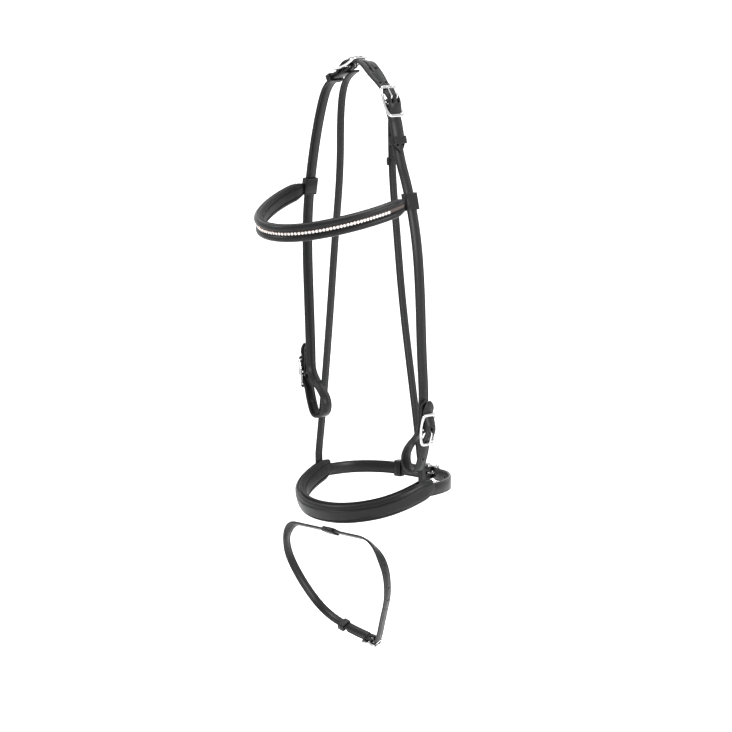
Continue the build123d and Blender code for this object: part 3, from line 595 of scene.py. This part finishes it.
def prong_wire(name, body, b, across):
    """A tongue: a ring round the bar, a low crank, and a straight taper to its tip."""
    hold = b.bar + 0.85
    curl = [(hold * math.cos(math.radians(t)), hold * math.sin(math.radians(t))) for t in range(200, 465, 20)]
    high = over(b) + b.leather / 2 + 0.75
    rest = b.rise + b.bar + 1.0
    line = [(-1.6, hold + 1.2), (-2.9, high - 1.0), (-4.4, high - 0.1), (-6.2, high)]
    line += [(-6.2 + (6.2 - b.pitch - 1.4) * k, high + (rest - high) * k) for k in (0.3, 0.6, 0.85, 1.0)]
    path = [place(b.view, s, n, across) for s, n in curl + line]
    taper = [0.85] * len(curl) + [1, 1.1, 1.15, 1.15, 1.1, 1.05, 0.95, 0.8]
    return wire(name, body, [path], 0.85, [taper])


for name, b in BUCKLES.items():
    buckle_frame(name + "_buckle", b)
for name in ("near_crown_prong_front", "near_crown_prong_rear", "far_crown_prong_front",
             "far_crown_prong_rear", "near_cheek_prong", "far_cheek_prong", "chin_prong", "flash_prong"):
    b = BUCKLES[name.split("_prong")[0]]
    lo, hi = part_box(name)
    b_across = b.view.along.cross(b.view.out)
    middle = ((Vector(lo) + Vector(hi)) / 2 - b.view.origin).dot(b_across) / MM
    prong_wire(name, name, b, middle)
print("buckles:", len(BUCKLES))

# %% [markdown]
# ## Keepers and loops
# A keeper is a narrow band of leather sewn into a ring round the strap, to hold a loose end down. It is
# built as a rounded rectangle with a thin leather section moved round it.
# %% Rings of leather
def ring_of(name, body, middle, run, out, width, thick, length, slack=0.35, wall=1.7):
    """A leather ring round straps of a width and thickness, at a place, along a run."""
    across = run.cross(out).normalized()
    out = across.cross(run).normalized()
    ha, hb = width / 2 + slack + wall / 2, thick / 2 + slack + wall / 2
    corner = 1.6
    loop = []
    for ca, cb, first in ((ha - corner, hb - corner, 0), (corner - ha, hb - corner, 90),
                          (corner - ha, corner - hb, 180), (ha - corner, corner - hb, 270)):
        for i in range(6):
            angle = math.radians(first + 18 * i)
            loop.append((ca + corner * math.cos(angle), cb + corner * math.sin(angle),
                         math.cos(angle), math.sin(angle)))
    outline = strip(length, wall, True)
    bm = bmesh.new()
    layer = bm.loops.layers.uv.new("strap")
    rings = []
    for a, b, na, nb in loop:
        spot = middle + (across * a + out * b) * MM
        normal = across * na + out * nb
        rings.append([bm.verts.new(spot + run * (u * MM) + normal * (v * MM)) for u, v in outline])
    count, n = len(outline), len(rings)
    for i in range(n):
        for j in range(count):
            k, m = (j + 1) % count, (i + 1) % n
            quad = bm.faces.new((rings[i][j], rings[i][k], rings[m][k], rings[m][j]))
            for one, column in zip(quad.loops, (j, k, k, j)):
                one[layer].uv = (i * MM, outline[column][0] / (length / 2))
    return finished(name, bm, body, "strap_leather")


def centre(node):
    lo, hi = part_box(node)
    return (Vector(lo) + Vector(hi)) / 2


near_out = Vector((1, 0, 0)) - near_run * near_run.x
far_out = Vector((-1, 0, 0)) + far_run * far_run.x
for name, run, out, length in (("near_crown_keeper", near_run, near_out, 9.5),
                               ("far_crown_keeper", far_run, far_out, 7)):
    ring_of(name, name, centre(name), run, out.normalized(), BILLET_WIDTH, 6.7, length)
joints = {joint["name"]: joint for joint in frame["joints"]}


def joint_axis(name):
    return Vector(joints[name]["axis"]).normalized()


hang_run = joint_axis("near_hanger_keeper_slide")
ring_of("near_hanger_keeper", "near_hanger_keeper", centre("near_hanger_keeper"), hang_run,
        hang_run.cross(Vector((0, 1, 0))).normalized(), 11.6, 2.6, 9.5)
chin_run = joint_axis("chin_keeper_slide")
ring_of("chin_keeper", "chin_keeper", centre("chin_keeper"), chin_run, CHIN_UP.cross(chin_run), 16, 6.7, 9.5,
        slack=0.9)
flash_run = joint_axis("flash_keeper_slide")
ring_of("flash_keeper", "flash_keeper", centre("flash_keeper"), flash_run, flash_across.cross(flash_run), 12,
        5.5, 8.5)
lean = math.radians(FLASH_TURN)
loop_out = FLASH.out * math.cos(lean) + FLASH.along.cross(FLASH.out) * math.sin(lean)
ring_of("flash_loop", "flash_loop", centre("flash_loop"), Vector((1, 0, 0)), loop_out, 12, 2.6, 18)
for name, a, b in (("near", (93, -209), (79, -152)), ("far", (-97, -172), (-85, -102))):
    run = Vector((a[0] - b[0], 0, a[1] - b[1])).normalized()
    ring_of(name + "_browband_loop", "browband", centre(name + "_browband_loop"), run,
            run.cross(Vector((0, 1, 0))), 15.6, 3.2, 21, slack=1.3)
print("rings of leather:", 8)

# %% [markdown]
# ## Holes
# Spare holes are punched through the billets and a slit runs along the crown. They are cut with
# Boolean modifiers, one for each hole because neighbours may touch, then applied and removed.
# %% Punching
def punch(piece, cutters):
    """cutters are (middle, along, through, length, width) in the frame: round holes or long slots."""
    tools = []
    for middle, along, through, length, width in cutters:
        bm = bmesh.new()
        side = through.cross(along).normalized()
        along = side.cross(through).normalized()
        radius, straight = width / 2 * MM, max(length - width, 0) / 2 * MM
        rim = []
        for i in range(24):
            angle = 2 * math.pi * i / 24
            shift = straight if math.cos(angle) > 0 else -straight
            rim.append(middle + along * (radius * math.cos(angle) + shift)
                       + side * (radius * math.sin(angle)))
        low = [bm.verts.new(v - through * 5 * MM) for v in rim]
        high = [bm.verts.new(v + through * 5 * MM) for v in rim]
        for i in range(24):
            k = (i + 1) % 24
            bm.faces.new((low[i], low[k], high[k], high[i]))
        bm.faces.new(low[::-1])
        bm.faces.new(high)
        bmesh.ops.recalc_face_normals(bm, faces=bm.faces)
        mesh = bpy.data.meshes.new("punch")
        bm.to_mesh(mesh)
        bm.free()
        tool = bpy.data.objects.new("punch", mesh)
        put_in_scene(tool)
        cut = piece.modifiers.new("hole", "BOOLEAN")
        cut.operation, cut.solver, cut.object = "DIFFERENCE", "EXACT", tool
        tools.append(tool)
    result = bpy.data.meshes.new_from_object(piece.evaluated_get(bpy.context.evaluated_depsgraph_get()))
    piece.modifiers.clear()
    old = piece.data
    piece.data = result
    bpy.data.meshes.remove(old)
    result.name = piece.name
    for tool in tools:
        bpy.data.meshes.remove(tool.data)
    print(f"{piece.name}: {len(cutters)} holes, {len(result.polygons)} faces")


def slots_for(b, spots):
    """The slots in a billet that the prongs of a buckle stand in."""
    v = b.view
    return [(place(v, -1.7, over(b), a), v.along, v.out, 11.2, 3.2) for a in spots]


def along_ribbon(name, share=None, near=None):
    """A place on a strap, with its run and its outward direction."""
    ribbon = RIBBONS[name]
    if near is not None:
        index = min(range(len(ribbon.stations)), key=lambda i: (ribbon.stations[i][1] - near).length)
    else:
        index = int(share * (len(ribbon.stations) - 1))
    spot, tangent = ribbon.stations[index][1], ribbon.tangents[index]
    return spot, tangent, ribbon.across.cross(tangent) * ribbon.face


pair = (PRONG_SET, -PRONG_SET)
crown_cuts = slots_for(BUCKLES["near_crown"], pair) + slots_for(BUCKLES["far_crown"], pair)
for s in (27, 52):
    spot, run, out = along_ribbon("crown_strap", near=place(NEAR_CROWN, -2 - s, 2))
    side = run.cross(out)
    crown_cuts += [(spot + side * (a * MM), run, out, 3.2, 3.2) for a in pair]
crown_cuts.append((Vector((11, -3.5, -2)) * MM, Vector((1, 0, -0.35)), Vector((0.35, 0, 1)).normalized(),
                   27, 1.6))
spot, run, out = along_ribbon("crown_strap", near=near_end - near_run * 9 * MM)
crown_cuts += [(spot + run.cross(out) * (a * MM), run, out, 3.0, 3.0) for a in pair]
punch(crown, crown_cuts)
for name in ("near", "far"):
    b = BUCKLES[name + "_cheek"]
    cuts = slots_for(b, (0,))
    spot, run, out = along_ribbon(name + "_cheekpiece", near=place(b.view, -38, -4.5))
    cuts.append((spot, run, out, 2.8, 2.8))
    punch(PIECES[name + "_cheekpiece"].object, cuts)
cuts = slots_for(chin, (0,))
for s in (-38, -54, -70):
    spot, run, out = along_ribbon("chin_strap_near", near=place(chin.view, s, -2))
    cuts.append((spot, run, out, 2.8, 2.8))
punch(PIECES["chin_strap_near"].object, cuts)
cuts = slots_for(flash, (0,))
for s, n in ((82, -36), (72, -70), (65, -92), (56, -107)):
    spot, run, out = along_ribbon("flash_strap", near=place(FLASH, s, n))
    cuts.append((spot, run, out, 2.6, 2.6))
punch(PIECES["flash_strap"].object, cuts)
for name, b in BUCKLES.items():
    gaps = pair if name.endswith("crown") else (0,)
    punch(PIECES[name + "_fold"].object,
          [(place(b.view, -1.5, 0.5, a), b.view.along, b.view.out, 9, 3.3) for a in gaps])

# %% [markdown]
# ## Stitches
# Bridle work is sewn with waxed thread, about one stitch in 3 mm. Each row is a line of edges on the
# leather. A Geometry Nodes tree turns it into a curve, spaces points along it and puts a small
# spindle on each one. Nodes suit this because the pitch and the thread are two inputs, the same for
# hundreds of stitches.
# %% The stitch tree
def row_tree(title, sizes, material):
    """A tree that spaces small shapes along rows of edges. sizes are the inputs (name, metres) for the
    pitch, and for a shape's width and length. It gives the nodes that the shape and its turn go to."""
    tree = bpy.data.node_groups.new(title, "GeometryNodeTree")
    tree.interface.new_socket("Rows", in_out="INPUT", socket_type="NodeSocketGeometry")
    for name, value in sizes:
        tree.interface.new_socket(name, in_out="INPUT", socket_type="NodeSocketFloat").default_value = value
    tree.interface.new_socket("Made", in_out="OUTPUT", socket_type="NodeSocketGeometry")
    node, link = tree.nodes.new, tree.links.new
    given, result = node("NodeGroupInput"), node("NodeGroupOutput")
    to_curve, resample = node("GeometryNodeMeshToCurve"), node("GeometryNodeResampleCurve")
    resample.mode = "LENGTH"
    size, scale = node("ShaderNodeCombineXYZ"), node("GeometryNodeTransform")
    align, instances = node("FunctionNodeAlignRotationToVector"), node("GeometryNodeInstanceOnPoints")
    align.axis = "Z"
    realize, paint = node("GeometryNodeRealizeInstances"), node("GeometryNodeSetMaterial")
    paint.inputs["Material"].default_value = material
    pitch, width, length = [name for name, _ in sizes]
    link(given.outputs["Rows"], to_curve.inputs["Mesh"])
    link(to_curve.outputs["Curve"], resample.inputs["Curve"])
    link(given.outputs[pitch], resample.inputs["Length"])
    link(given.outputs[width], size.inputs["X"])
    link(given.outputs[width], size.inputs["Y"])
    link(given.outputs[length], size.inputs["Z"])
    link(size.outputs["Vector"], scale.inputs["Scale"])
    link(resample.outputs["Curve"], instances.inputs["Points"])
    link(scale.outputs["Geometry"], instances.inputs["Instance"])
    link(align.outputs["Rotation"], instances.inputs["Rotation"])
    link(instances.outputs["Instances"], realize.inputs["Geometry"])
    link(realize.outputs["Geometry"], paint.inputs["Geometry"])
    link(paint.outputs["Geometry"], result.inputs["Made"])
    return tree, scale, align, instances


def stitch_tree(material):
    """A spindle on each point, lying along its row."""
    sizes = (("Pitch", 0.0031), ("Thread", 0.0007), ("Stitch Length", 0.0022))
    tree, scale, align, _ = row_tree("Stitches", sizes, material)
    spindle, tangent = tree.nodes.new("GeometryNodeMeshUVSphere"), tree.nodes.new("GeometryNodeInputTangent")
    spindle.inputs["Segments"].default_value = 6
    spindle.inputs["Rings"].default_value = 5
    spindle.inputs["Radius"].default_value = 0.5
    tree.links.new(spindle.outputs["Mesh"], scale.inputs["Geometry"])
    tree.links.new(tangent.outputs["Tangent"], align.inputs["Vector"])
    return tree


def grown(name, lines, tree, body, slot, values=()):
    """Runs a node tree on lines of points and keeps the result as one plain mesh."""
    mesh = bpy.data.meshes.new(name + "_rows")
    spots, edges = [], []
    for line in lines:
        first = len(spots)
        spots += line
        edges += [(first + i, first + i + 1) for i in range(len(line) - 1)]
    mesh.from_pydata(spots, edges, [])
    rows = bpy.data.objects.new(name + "_rows", mesh)
    put_in_scene(rows)
    modifier = rows.modifiers.new("grow", "NODES")
    modifier.node_group = tree
    sockets = {item.name: item.identifier for item in tree.interface.items_tree if item.in_out == "INPUT"}
    for title, value in values:
        modifier[sockets[title]] = value
    result = bpy.data.meshes.new_from_object(rows.evaluated_get(bpy.context.evaluated_depsgraph_get()))
    bpy.data.objects.remove(rows)
    bpy.data.meshes.remove(mesh)
    result.name = name
    piece = bpy.data.objects.new(name, result)
    put_in_scene(piece)
    for one in result.polygons:
        one.use_smooth = slot != "stones"
    PIECES[name] = Piece(piece, body, slot)
    print(f"{name}: {len(lines)} rows, {len(result.polygons)} faces")
    return piece


def row_on(name, a, b, first=0.0, last=1.0, inside=False):
    """A line on a strap: a millimetres across, b millimetres out, between two shares of its length."""
    ribbon = RIBBONS[name]
    total = ribbon.stations[-1][0]
    line = []
    for (s, spot), tangent in zip(ribbon.stations, ribbon.tangents):
        if first * total <= s <= last * total:
            out = ribbon.across.cross(tangent).normalized() * ribbon.face
            line.append(spot + ribbon.across * (a * MM) + out * (b * MM))
    return line


# %% [markdown]
# ## Leather, steel and glass
# Black bridle leather is dyed through and waxed. Its colour is almost even, so its look comes from a
# soft sheen that varies with the grain: fine pores from a Voronoi texture, broad patches from Noise,
# and smoother, burnished edges with a painted highlight, a slightly lighter colour. The edge is found
# from the strap's own UV map, which holds how far across the strap a point is.
# %% Finishes
def finish(name, colour, roughness, metallic=0.0, specular=0.5, coat=0.0, **more):
    material = bpy.data.materials.new(name)
    material.use_nodes = True
    shader = material.node_tree.nodes["Principled BSDF"]
    shader.inputs["Base Color"].default_value = (*colour, 1)
    shader.inputs["Roughness"].default_value = roughness
    shader.inputs["Metallic"].default_value = metallic
    shader.inputs["Specular IOR Level"].default_value = specular
    shader.inputs["Coat Weight"].default_value = coat
    for title, value in more.items():
        shader.inputs[title.replace("_", " ")].default_value = value
    return material, shader


def grain(material, shader, dark, light, pores, depth, rough, edges=False):
    """Adds grain, patches and a painted highlight on the burnished edges to a leather finish."""
    node, link = material.node_tree.nodes.new, material.node_tree.links.new
    where, patches = node("ShaderNodeTexCoord"), node("ShaderNodeTexNoise")
    pore = node("ShaderNodeTexVoronoi")
    patches.inputs["Scale"].default_value = 55
    patches.inputs["Detail"].default_value = 5
    pore.inputs["Scale"].default_value = pores
    pore.feature = "SMOOTH_F1"
    tint, shine, bump = node("ShaderNodeMix"), node("ShaderNodeMapRange"), node("ShaderNodeBump")
    tint.data_type = "RGBA"
    tint.inputs["A"].default_value = (*dark, 1)
    tint.inputs["B"].default_value = (*light, 1)
    shine.inputs["To Min"].default_value, shine.inputs["To Max"].default_value = rough
    bump.inputs["Strength"].default_value = 0.35
    bump.inputs["Distance"].default_value = depth
    link(where.outputs["Object"], patches.inputs["Vector"])
    link(where.outputs["Object"], pore.inputs["Vector"])
    link(patches.outputs["Fac"], tint.inputs["Factor"])
    link(patches.outputs["Fac"], shine.inputs["Value"])
    link(pore.outputs["Distance"], bump.inputs["Height"])
    link(bump.outputs["Normal"], shader.inputs["Normal"])
    link(shine.outputs["Result"], shader.inputs["Roughness"])
    colour = tint.outputs["Result"]
    if edges:
        # Painted highlight: near a strap's edges, found from its UV map, the colour is mixed towards a
        # lighter one.
        strap_map, split = node("ShaderNodeUVMap"), node("ShaderNodeSeparateXYZ")
        size = node("ShaderNodeMath")
        strap_map.uv_map = "strap"
        size.operation = "ABSOLUTE"
        edge, painted_edge_highlight = node("ShaderNodeMapRange"), node("ShaderNodeMix")
        edge.inputs["From Min"].default_value = 0.9
        edge.inputs["From Max"].default_value = 1.0
        edge.inputs["To Max"].default_value = 0.55
        painted_edge_highlight.data_type = "RGBA"
        painted_edge_highlight.inputs["B"].default_value = (light[0] * 1.8, light[1] * 1.75, light[2] * 1.7, 1)
        link(strap_map.outputs["UV"], split.inputs["Vector"])
        link(split.outputs["Y"], size.inputs[0])
        link(size.outputs["Value"], edge.inputs["Value"])
        link(edge.outputs["Result"], painted_edge_highlight.inputs["Factor"])
        link(colour, painted_edge_highlight.inputs["A"])
        colour = painted_edge_highlight.outputs["Result"]
    link(colour, shader.inputs["Base Color"])


bridle_leather, shader = finish("waxed_bridle_leather", (0.01, 0.01, 0.011), 0.4, specular=0.2, coat=0.03,
                                Coat_Roughness=0.25)
# The last argument, True, paints a lighter highlight colour on the strap edges.
grain(bridle_leather, shader, (0.004, 0.004, 0.0045), (0.009, 0.009, 0.0095), 900, 0.00022, (0.3, 0.44), True)
soft_leather, shader = finish("soft_lining_leather", (0.008, 0.008, 0.008), 0.5, specular=0.15)
grain(soft_leather, shader, (0.005, 0.005, 0.005), (0.011, 0.011, 0.011), 650, 0.0004, (0.42, 0.6))
thread, shader = finish("waxed_thread", (0.012, 0.012, 0.012), 0.55, specular=0.25)
grain(thread, shader, (0.008, 0.008, 0.008), (0.02, 0.02, 0.02), 2500, 0.0001, (0.5, 0.7))
steel, shader = finish("polished_buckle_steel", (0.6, 0.6, 0.61), 0.1, metallic=1.0)
node, link = steel.node_tree.nodes.new, steel.node_tree.links.new
where, scuffs, shine = node("ShaderNodeTexCoord"), node("ShaderNodeTexNoise"), node("ShaderNodeMapRange")
scuffs.inputs["Scale"].default_value = 400
scuffs.inputs["Detail"].default_value = 6
shine.inputs["To Min"].default_value, shine.inputs["To Max"].default_value = 0.06, 0.22
link(where.outputs["Object"], scuffs.inputs["Vector"])
link(scuffs.outputs["Fac"], shine.inputs["Value"])
link(shine.outputs["Result"], shader.inputs["Roughness"])
tape, shader = finish("setting_tape", (0.05, 0.035, 0.03), 0.45)
grain(tape, shader, (0.02, 0.016, 0.014), (0.09, 0.06, 0.05), 1500, 0.0002, (0.35, 0.6))
rose, shader = finish("rose_metal", (0.83, 0.55, 0.42), 0.2, metallic=1.0)
stone, shader = finish("cut_glass", (0.95, 0.93, 0.92), 0.03, metallic=0.0, specular=1.0, coat=1.0,
                       Transmission_Weight=0.45, IOR=1.6)
LOOKS = {"strap_leather": bridle_leather, "padding_leather": soft_leather, "polished_steel": steel,
         "stone_setting": tape, "stones": stone}
print("finishes:", len(bpy.data.materials))

# %% Rows of stitches
stitches = stitch_tree(thread)
head_rows = []
for name in ("near", "far"):
    head_rows += [row_on(name + "_cheekpiece", a, 1.62, 0.02, 0.07) for a in (-5.9, 5.9)]
    head_rows += [row_on(name + "_cheek_chape", a, 1.62, 0.25, 0.8) for a in (-5.9, 5.9)]
grown("headpiece_stitches", head_rows, stitches, "headpiece", "strap_leather")
brow_rows = [row_on("browband_lining", a, -4.1, 0.04, 0.96) for a in (-5.4, 5.4)]
brow_rows += [row_on("browband_strap", a, 1.3, 0.03, 0.97) for a in (-10.3, 10.3)]
brow_rows += [row_on("browband_channel", a, 3.0, 0.06, 0.94) for a in (-2.5, 2.5)]
grown("browband_stitches", brow_rows, stitches, "browband", "strap_leather")
nose_rows = [row_on("noseband_padding", a, -5.2, 0.06, 0.94) for a in (-7.0, 7.0)]
nose_rows += [row_on("noseband_face", a, 4.1, 0.06, 0.94) for a in (-8.6, 6.8)]
grown("noseband_stitches", nose_rows, stitches, "noseband", "strap_leather")

# %% [markdown]
# ## Stones
# The channel holds a row of cut stones in small metal cups. One tree sets a faceted stone, made from a
# cone with its point cut off, and its cup on every point of the row. The stones are larger towards the
# near side, so the scale follows the position along the row.
# %% The stone tree
def stone_tree(shape, material):
    """A cut cone on each point, standing out from the band, and larger at the start of the row."""
    sizes = (("Pitch", 0.0043), ("Width", 0.0037), ("Height", 0.0014))
    tree, scale, align, instances = row_tree(shape, sizes, material)
    node, link = tree.nodes.new, tree.links.new
    cone, tangent = node("GeometryNodeMeshCone"), node("GeometryNodeInputTangent")
    cone.inputs["Vertices"].default_value = 8
    cone.inputs["Radius Top"].default_value = 0.27 if shape == "Stones" else 0.44
    cone.inputs["Radius Bottom"].default_value = 0.5
    cone.inputs["Depth"].default_value = 1.0
    up, cross = node("FunctionNodeInputVector"), node("ShaderNodeVectorMath")
    up.vector = brow_up
    cross.operation = "CROSS_PRODUCT"
    along, grow = node("GeometryNodeSplineParameter"), node("ShaderNodeMapRange")
    grow.inputs["To Min"].default_value, grow.inputs["To Max"].default_value = 1.15, 0.8
    link(cone.outputs["Mesh"], scale.inputs["Geometry"])
    link(tangent.outputs["Tangent"], cross.inputs[0])
    link(up.outputs["Vector"], cross.inputs[1])
    link(cross.outputs["Vector"], align.inputs["Vector"])
    link(along.outputs["Factor"], grow.inputs["Value"])
    link(grow.outputs["Result"], instances.inputs["Scale"])
    return tree


row = row_on("browband_channel", 0, 3.9, 0.07, 0.93)
stones = grown("browband_stones_cut", [row], stone_tree("Stones", stone), "browband", "stones")
grown("browband_stone_cups", [row_on("browband_channel", 0, 3.2, 0.07, 0.93)], stone_tree("Cups", rose),
      "browband", "stone_setting", [("Width", 0.0042), ("Height", 0.0008)])

# %% [markdown]
# ## Putting it together
# Each piece gets its finish, rides on the body that it belongs to and stands for the solid that it was
# built over. The folds, stitches and cups are extra detail and stand for nothing.
# %% Finishes, bodies and the solids that are replaced
for name, piece in PIECES.items():
    thing = piece.object
    if not thing.data.materials:
        thing.data.materials.append(LOOKS[piece.slot])
    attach(thing, piece.body)
    if name in frame["nodes"]:
        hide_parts(name)
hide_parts("browband_stones")
left = [name for name in frame["nodes"] if name not in PIECES and name != "browband_stones"]
print("pieces:", len(PIECES), "solids still shown:", left)

# %% [markdown]
# ## Studio
# The bridle hangs in front of a seamless pale ground: a floor that curves up into a wall behind. Soft
# lights from the front, the near side and above give the long, even highlights that show waxed leather.
# %% Ground, lights and camera
bm = bmesh.new()
rows = []
for i in range(24):
    angle = math.pi / 2 * i / 23
    rows.append((2.5 + 1.5 * math.sin(angle), -0.95 + 1.5 * (1 - math.cos(angle))))
profile = [(-6, -0.95), (0, -0.95)] + rows + [(4.0, 6.0)]
back = Vector((-math.sin(math.radians(45)), math.cos(math.radians(45)), 0))
side = Vector((back.y, -back.x, 0))
edges = [[bm.verts.new(back * d + side * w + Vector((0, 0, z))) for d, z in profile] for w in (-9, 9)]
for i in range(len(profile) - 1):
    bm.faces.new((edges[0][i], edges[1][i], edges[1][i + 1], edges[0][i + 1]))
ground = bpy.data.meshes.new("ground")
bm.to_mesh(ground)
bm.free()
ground.polygons.foreach_set("use_smooth", [True] * len(ground.polygons))
floor = bpy.data.objects.new("ground", ground)
put_in_scene(floor)
paper, shader = finish("pale_paper", (0.93, 0.93, 0.93), 0.9, specular=0.1)
shader.inputs["Emission Color"].default_value = (1, 1, 1, 1)
shader.inputs["Emission Strength"].default_value = 0.35
floor.data.materials.append(paper)

world = bpy.data.worlds.new("studio")
bpy.context.scene.world = world
world.use_nodes = True
world.node_tree.nodes["Background"].inputs["Color"].default_value = (1, 1, 1, 1)
world.node_tree.nodes["Background"].inputs["Strength"].default_value = 1.0


def soft_light(name, spot, power, size):
    data = bpy.data.lights.new(name, "AREA")
    data.energy, data.shape, data.size = power, "DISK", size
    light = bpy.data.objects.new(name, data)
    light.location = spot
    light.rotation_euler = (Vector((0, 0, -0.38)) - Vector(spot)).to_track_quat("-Z", "Y").to_euler()
    put_in_scene(light)


soft_light("key", (-1.4, -2.0, 1.5), 40, 1.0)
soft_light("near_fill", (2.6, 0.6, 0.5), 45, 1.1)
soft_light("top", (0.3, 0.4, 2.2), 40, 1.2)
target = Vector((0, 0.006, -0.377))
camera = bpy.data.objects.new("camera", bpy.data.cameras.new("camera"))
put_in_scene(camera)
turn, rise = math.radians(45), math.radians(9)
away = Vector((math.sin(turn) * math.cos(rise), -math.cos(turn) * math.cos(rise), math.sin(rise)))
camera.location = target + away * 3.3
camera.rotation_euler = (-away).to_track_quat("-Z", "Y").to_euler()
camera.data.sensor_width, camera.data.lens = 36, 129.8
camera.data.clip_end = 40
bpy.context.scene.camera = camera
bpy.context.scene.view_settings.view_transform = "Standard"
print("camera at", [round(v, 2) for v in camera.location])

# %% [markdown]
# ## The end
# %% Updating the scene
bpy.context.view_layer.update()
